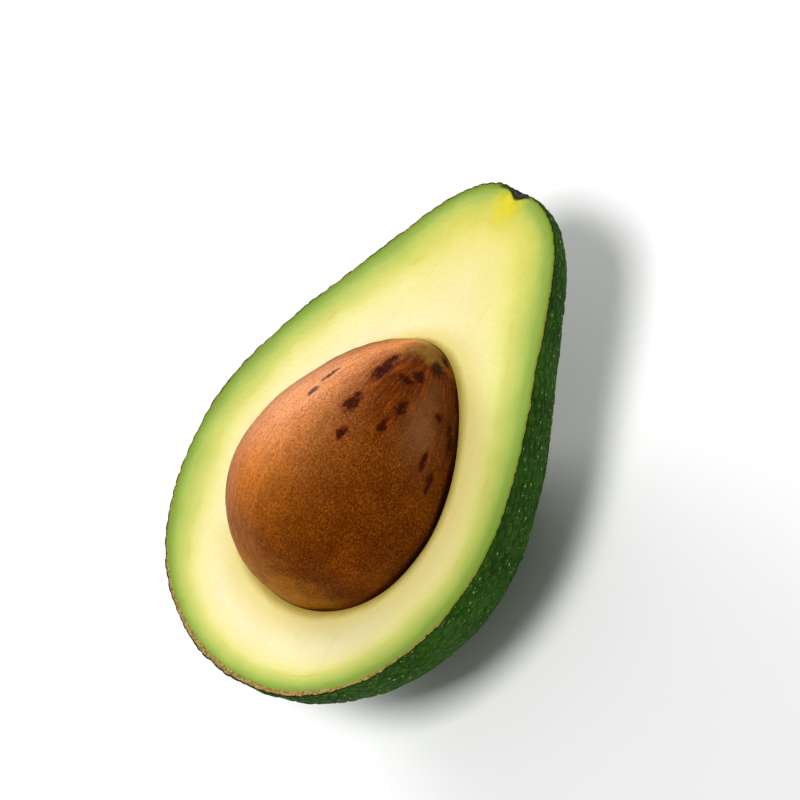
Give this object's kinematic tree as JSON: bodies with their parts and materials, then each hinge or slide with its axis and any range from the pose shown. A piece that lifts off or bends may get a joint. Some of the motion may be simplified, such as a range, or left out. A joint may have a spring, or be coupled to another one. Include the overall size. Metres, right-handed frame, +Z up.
{
  "type": "avocado half",
  "caption": "Pear-shaped avocado half with its stone in place, lying on its back with the cut face up.",
  "frame": {"origin": "on the surface the half lies on, below the middle of its length and width", "axes": "+Z up out of the cut face; +Y along the fruit's length towards the stem end; +X across it"},
  "size_m": [0.0739, 0.1067, 0.0563],
  "materials": {
    "skin": "glossy, pebbled, dark green with pale dots",
    "flesh": "moist satin, pale yellow turning green towards the skin",
    "seed": "smooth satin brown with darker blotches",
    "stem_scar": "dry and corky"
  },
  "bodies": {
    "root": {"skin": "skin", "flesh": "flesh", "seed": "seed", "stem_scar": "stem_scar"}
  },
  "joints": []
}
